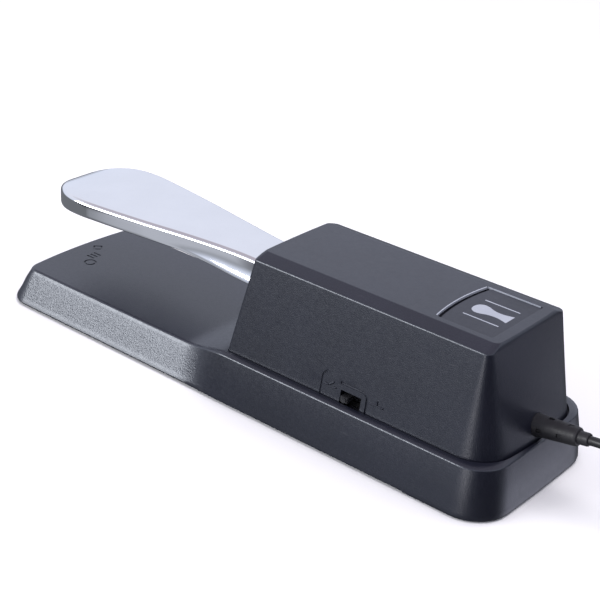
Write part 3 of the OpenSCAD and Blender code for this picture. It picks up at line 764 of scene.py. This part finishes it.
def ramp_marks():
    """Shallow moulding marks near the front of the ramp: a ring, a bar pair and a diamond."""
    z0, z1 = RAMP_Z - 0.35, RAMP_Z + 2
    ring = lathe("ring", [(2.0, z0), (2.75, z0), (2.75, z1), (2.0, z1), (2.0, z0)], (7.4, -101.5, 0))
    bars = [block("bar", (x, -107.6, z0), (x + 0.8, -103.4, z1)) for x in (-0.9, 1.1, 3.1)]
    diamond = [(-5.4, -113.2), (-2.6, -110.4), (-5.4, -107.6), (-8.2, -110.4)]
    inner = [(-5.4, -112.2), (-3.6, -110.4), (-5.4, -108.6), (-7.2, -110.4)]
    frame_cut = prism("diamond", diamond, z0, z1)
    cut(frame_cut, prism("inner", inner, z0 - 1, z1 + 1))
    return [ring, frame_cut, *bars]


# ---------- housing ----------

COVER_STATIONS = [20, 35, 50, 53, 56, 60, 64, 67, 75, 90, 100]
COVER_EDGE = 0.6                # radius of the top edges at the front and the rear
WALL_NORMAL = (1, 0, 0.1675)    # square to the right side wall


def cover_ends(z):
    """Front y, rear y, rear corner radius and rear bow of the housing at height z."""
    t = (z - LEDGE_Z) / (COVER_Z - LEDGE_Z)
    return COVER_Y0 + 6.4 * t, COVER_Y1 - 9.4 * t, 11.8 - 9.6 * t, COVER_REAR_BOW * (1 - 0.8 * t)


def cover_half(hw, z, gap=0.0, stations=COVER_STATIONS):
    """Right half of the housing's outline at height z, gap inside its outer face. The outer face's
    top edges are rounded at the two ends."""
    y0, y1, rear_r, bow = cover_ends(z)
    end_gap = gap
    if not gap:
        over = max(0.0, z - (COVER_Z - COVER_EDGE))
        end_gap = COVER_EDGE - math.sqrt(max(0.0, COVER_EDGE ** 2 - over ** 2))
    half = half_outline(hw - gap, y0 + end_gap, y1 - end_gap, 1.6, max(0.8, rear_r - gap), 0.4, bow,
                        stations)
    return [(x, y, z) for x, y in half]


def side_hw(z):
    return COVER_HW + (CHAMFER_HW - COVER_HW) * (z - LEDGE_Z) / (CHAMFER_Z - LEDGE_Z)


def front_band(near, far):
    """Outline of a band along the bowed front edge of the label's recess."""
    bow = [(x, RECESS_Y0 + RECESS_BOW * (x / RECESS_HW) ** 2) for x in (-16.0 + 1.28 * i for i in range(26))]
    return [(x, y + near) for x, y in bow] + [(x, y + far) for x, y in reversed(bow)]


def make_cover(materials):
    profile = [(side_hw(z), z) for z in (COVER_SEAT_Z, 22, 26, 30, 36, 42, 48, 54)]
    profile += fillet((CHAMFER_HW, CHAMFER_Z), (side_hw(50), 50), (TOP_HW, COVER_Z), 1.0, 5)
    profile += [(mix(CHAMFER_HW, TOP_HW, t), mix(CHAMFER_Z, COVER_Z, t)) for t in (0.35, 0.6)]
    profile += fillet((TOP_HW, COVER_Z), (CHAMFER_HW, CHAMFER_Z), (0, COVER_Z), 1.3, 5)
    cover = lofted("housing", [cover_half(hw, z) for hw, z in profile])
    hollow = lofted("hollow", [
        cover_half(side_hw(COVER_SEAT_Z), COVER_SEAT_Z - 1, COVER_WALL, ()),
        cover_half(side_hw(CHAMFER_Z - 1), CHAMFER_Z - 2.2, COVER_WALL, ()),
        cover_half(TOP_HW, COVER_Z - 2.2, 3.2, ()),
    ])
    recess = outline(RECESS_HW, RECESS_Y0 - 0.6, RECESS_Y1, 0.8, 0.8, RECESS_BOW, 0)
    cut(cover, hollow, block("mouth", (-14.5, -4, 30), (14.5, 10, 52)),
        block("notch", (20, 55.2, 10), (36, 64.5, 25.3)),
        prism("recess", recess, COVER_Z - 1, COVER_Z + 2),
        prism("recess_edge", front_band(0.0, 1.25), COVER_Z - 1.9, COVER_Z + 2),
        *switch_grooves(),
        lathe("hole", [(0, -12), (4.35, -12), (4.35, 18), (0, 18)], SLEEVE_AT, SLEEVE_AXIS))
    soften(cover, 0.3, 3, 44)
    join(cover, soften(block("pad_rib", (-10, 11, 52.4), (10, 19, 59.5)), 0.3), *switch_marks())
    return finish_piece(cover, materials["housing_plastic"], "base", "shell_plastic", "top_cover", angle=34)


def on_side(y, z, proud=0.0):
    """Point on the housing's right wall, a little proud of it."""
    return Vector((side_hw(z) + proud, y, z))


def rod(name, points, radius, sides=10):
    """Round bar along a line."""
    n = len(points)
    verts, faces = [], []
    for i, p in enumerate(points):
        before = points[max(0, i - 1)]
        after = points[min(n - 1, i + 1)]
        t = (Vector(after) - Vector(before)).normalized()
        u = t.cross(Vector(WALL_NORMAL)).normalized()
        v = t.cross(u)
        verts += [Vector(p) + radius * (math.cos(a) * u + math.sin(a) * v)
                  for a in (2 * math.pi * k / sides for k in range(sides))]
    for i in range(n - 1):
        for k in range(sides):
            a, b = i * sides + k, i * sides + (k + 1) % sides
            faces.append((a, b, b + sides, a + sides))
    faces += [tuple(range(sides)), tuple(reversed(range((n - 1) * sides, n * sides)))]
    return mesh_object(name, verts, faces)


def corner_line(cy, cz, r, a0, a1, steps=8):
    """Arc on the housing's wall, between two angles in degrees."""
    return [on_side(cy + r * math.cos(a), cz + r * math.sin(a))
            for a in (math.radians(mix(a0, a1, i / steps)) for i in range(steps + 1))]


def switch_grooves():
    """Lines round the polarity knob's frame and the tab beside it."""
    frame_line = [on_side(54.6, 27.9)] + corner_line(64.6, 25.6, 2.3, 90, 0)
    frame_line += [on_side(67, z) for z in (23, 20)]
    tab_line = [on_side(46.3, z) for z in (20, 25)] + corner_line(49.3, 27.2, 3, 180, 110)
    return [rod("line", frame_line, 0.5), rod("line", tab_line, 0.4)]


def switch_marks():
    """Beads beside the polarity knob: an open contact before it and a closed one behind it."""
    lines = [((47.6, 25.2), (49.4, 25.2)), ((49.8, 25.4), (51.8, 26.9)), ((52.0, 25.0), (53.0, 25.0)),
             ((68.6, 25.2), (74.2, 25.2)), ((71.4, 25.4), (71.4, 27.2))]
    return [rod("mark", [on_side(y, z, 0.08) for y, z in line], 0.36) for line in lines]


def make_label(materials):
    z = COVER_Z - 0.98
    card = outline(RECESS_HW - 0.3, RECESS_Y0 + 1.3, RECESS_Y1 - 0.3, 0.7, 0.7, RECESS_BOW, 0)
    plate = prism("label_card", card, z, z + 0.5)
    soften(plate, 0.12, 2)
    finish_piece(plate, materials["label"], "base", "label", "label_plate")
    top = z + 0.5
    leaf = [(3.0, 103.2, 0), (1.9, 99, 0), (2.2, 95.4, 0), (3.4, 92.4, 0), (3.5, 90.2, 0),
            (2.2, 88.5, 0), (0, 87.9, 0)]
    leaf = [(p.x, p.y) for p in smooth_line(leaf, 4)]
    sign = prism("sign", leaf + [(-x, y) for x, y in reversed(leaf[:-1])], top - 0.2, top + 0.03)
    bars = [block("bar", (x, 88.2, top - 0.2), (x + 0.6, 102.8, top + 0.03)) for x in (-7.4, 6.8)]
    # light strips along the front edge and the left edge of the recess: a painted highlight on the recess's
    # edges
    painted_highlight_strip = prism("painted_highlight_strip", front_band(-0.58, -0.08), COVER_Z - 0.9, COVER_Z - 0.04)
    side_painted_highlight_strip = block("side_painted_highlight_strip", (0.04 - RECESS_HW, RECESS_Y0 + 1.4, COVER_Z - 0.9),
                      (0.28 - RECESS_HW, RECESS_Y1 - 0.9, COVER_Z - 0.06))
    join(sign, painted_highlight_strip, side_painted_highlight_strip, *bars)
    # the print and the painted highlight strips share the print's material
    finish_piece(sign, materials["print_and_painted_highlight"], "base", "label")
    sign.name = "label_sign_and_painted_highlight"


# ---------- pedal ----------

def make_pedal(materials):
    line = smooth_line([(x, y, 0) for y, x in PEDAL_PLAN], 4)
    tip_y, rear_y = PEDAL_PLAN[0][0], 98
    plan = [Vector((0, tip_y))] + [Vector((p.x, max(p.y, tip_y + 0.02))) for p in line]
    plan += [Vector((x, rear_y)) for x in (8, 5, 2, 0)]
    normals = []
    for i, p in enumerate(plan):
        before, after = plan[max(0, i - 1)], plan[min(len(plan) - 1, i + 1)]
        run = (after - before).normalized()
        normals.append(Vector((run.y, -run.x)))
    normals[0], normals[-1] = Vector((0, -1)), Vector((0, 1))
    for i, p in enumerate(plan):
        if p.y > rear_y - 0.1:
            normals[i] = Vector((0, 1)) if p.x < 10 else Vector((1, 1))

    def top_z(y):
        return curve_at(PEDAL_TOP, y)

    def low_z(y):
        return curve_at(PEDAL_LOW, y)

    def flare(y):
        """How far the lower edge stands out sideways, most at the housing's front."""
        return 2.2 * smoothstep((y + 65) / 65) * (1 - smoothstep((y - 8) / 14))

    def ring(inset, height):
        """height gives (share of the flare, z) at a plan point after the inset."""
        half = []
        for p, out in zip(plan, normals):
            q = p - out * inset
            q.x = max(q.x, 0.0) if p.x > 0 else 0.0
            share, z = height(p.y, q.y)
            half.append((q.x + (flare(p.y) * share if p.x > 5 else 0.0), q.y, z))
        return half

    def wall(share):
        def height(y_out, y):
            low, high = low_z(y_out), top_z(y_out)
            edge_r = min(PEDAL_EDGE, 0.6 * (high - low))
            return (1 - share) ** 1.6, mix(low + 0.5, high - edge_r, share)
        return height

    def rounding(a):
        def height(y_out, y):
            edge_r = min(PEDAL_EDGE, 0.6 * (top_z(y_out) - low_z(y_out)))
            return 0.0, top_z(y) - edge_r * (1 - math.sin(a))
        return height

    angles = [math.pi / 2 * i / 7 for i in range(1, 8)]
    halves = [ring(SHEET, lambda yo, y: (0.0, top_z(y) - SHEET))]
    halves += [ring(SHEET, lambda yo, y: (0.9, low_z(yo) + 0.4)),
               ring(SHEET - 0.4, lambda yo, y: (1.0, low_z(yo)))]
    halves += [ring(0.5, lambda yo, y: (1.0, low_z(yo))), ring(0.15, lambda yo, y: (1.0, low_z(yo) + 0.15))]
    halves += [ring(0.0, wall(s)) for s in (0.0, 0.2, 0.45, 0.75, 1.0)]
    halves += [ring(PEDAL_EDGE * (1 - math.cos(a)), rounding(a)) for a in angles]
    pedal = lofted("pedal", halves, top_z, 12)
    cut(pedal, lathe("axle_hole", [(0, -20), (4, -20), (4, 20), (0, 20)], AXLE, (1, 0, 0)))
    soften(pedal, 0.2, 2, 50)
    return finish_piece(pedal, materials["pedal_chrome"], "pedal", "pedal_chrome", "pedal_lever", angle=50)


# ---------- inside ----------

def make_spring(materials):
    turns, wire, radius, steps = 8, 1.4, 5.9, 24
    z0, z1 = DECK_Z + wire / 2 + 0.05, 44.85 - wire / 2
    line = []
    # the turns lie closer together at the two ends
    for i in range(turns * steps + 1):
        t = i / (turns * steps)
        a = 2 * math.pi * turns * t
        s = t - math.sin(2 * math.pi * t) / (2 * math.pi) * 0.69
        line.append(Vector((radius * math.cos(a), SPRING_Y + radius * math.sin(a), mix(z0, z1, s))))
    spring = rod("spring_coil", line, wire / 2, sides=12)
    finish_piece(spring, materials["spring_steel"], "base", "spring_steel", "return_spring", angle=60)
    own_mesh(spring)


def make_sleeve(materials):
    profile = [
        (1.85, -4.6), (5.8, -4.6), (6, -4.4), (6, -3.1), (5.8, -2.9), (4.25, -2.9), (4.22, 0.0),
        (3.95, 5.0), (3.75, 10), (3.52, 16.0), (3.35, 16.9), (3.1, 17.2), (2.45, 17.3), (2.42, 20.6),
        (2.25, 21.1), (1.85, 21.2), (1.85, -4.6),
    ]
    sleeve = lathe("sleeve", profile, SLEEVE_AT, SLEEVE_AXIS)
    up = Vector((0, -math.sin(SLEEVE_TILT), math.cos(SLEEVE_TILT)))
    along = Vector(SLEEVE_AXIS)
    side = Vector((1, 0, 0))
    slots = []
    faces = [(3, 2, 1, 0), (4, 5, 6, 7), (0, 1, 5, 4), (1, 2, 6, 5), (2, 3, 7, 6), (3, 0, 4, 7)]
    for d, out in ((3.2, side), (3.2, -side), (11, side), (11, -side), (6.2, up), (14, up), (9, -up)):
        centre = Vector(SLEEVE_AT) + along * d + out * 4.0
        wide = out.cross(along)
        corners = [centre + along * a * 1.0 + wide * b * 0.8 + out * c * 0.75
                   for c in (-1, 1) for a, b in ((-1, -1), (1, -1), (1, 1), (-1, 1))]
        slots.append(mesh_object("slot", corners, faces))
    cut(sleeve, *slots)
    soften(sleeve, 0.15, 2, 50)
    finish_piece(sleeve, materials["sleeve_rubber"], "base", "sleeve_rubber", "strain_relief")


# look of each piece that keeps its CAD mesh, and the width its edges are softened by
CAD_LOOKS = {
    "base_plate": ("plated_steel", 0.2), "plate_screws": ("screw_steel", 0.3),
    "sole_pad": ("sole_rubber", 0.3), "pivot_bracket": ("plated_steel", 0.25),
    "bracket_screws": ("screw_steel", 0.3), "pivot_pin": ("screw_steel", 0.3),
    "pin_clips": ("spring_steel", 0.1), "pivot_bushes": ("nylon", 0.15),
    "spring_cup": ("nylon", 0.3), "upper_pad": ("felt", 0.4),
    "lower_bumper": ("sole_rubber", 0.3), "circuit_board": ("board", 0.1),
    "board_screws": ("screw_steel", 0.25), "cord_clamp": ("switch_plastic", 0.3),
    "microswitch_case": ("switch_plastic", 0.2), "microswitch_leaf": ("spring_steel", 0.05),
    # the slide switch's case takes the near-black steel, painted shade in the notch round it
    "microswitch_button": ("button_plastic", 0.2), "slide_switch_case": ("painted_shade_steel", 0.2),
    "polarity_slider": ("knob_plastic", 0.3), "lead_wires": ("lead_sheath", 0.0),
    "clamp_screws": ("screw_steel", 0.25), "cover_screws": ("screw_steel", 0.25),
    "cord_tie": ("tie_plastic", 0.25), "plug_grip": ("grip_plastic", 0.25),
    "plug_sleeve": ("plug_metal", 0.2), "plug_insulator": ("insulator", 0.15),
    "plug_tip": ("plug_metal", 0.1),
}


def dress_cad(materials):
    for name, (look, width) in CAD_LOOKS.items():
        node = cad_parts[name]
        node.data.materials.clear()
        node.data.materials.append(materials[look])
        if width:
            soften(node, width, 2, 35, keep=True)
        node.data.polygons.foreach_set("use_smooth", [True] * len(node.data.polygons))
        node.data.set_sharp_from_angle(angle=math.radians(35))


# ---------- scene ----------

make_camera()
MATERIALS = make_materials()
make_lead(MATERIALS)
make_base(MATERIALS)
make_cover(MATERIALS)
make_label(MATERIALS)
make_pedal(MATERIALS)
make_spring(MATERIALS)
make_sleeve(MATERIALS)
dress_cad(MATERIALS)
make_studio()
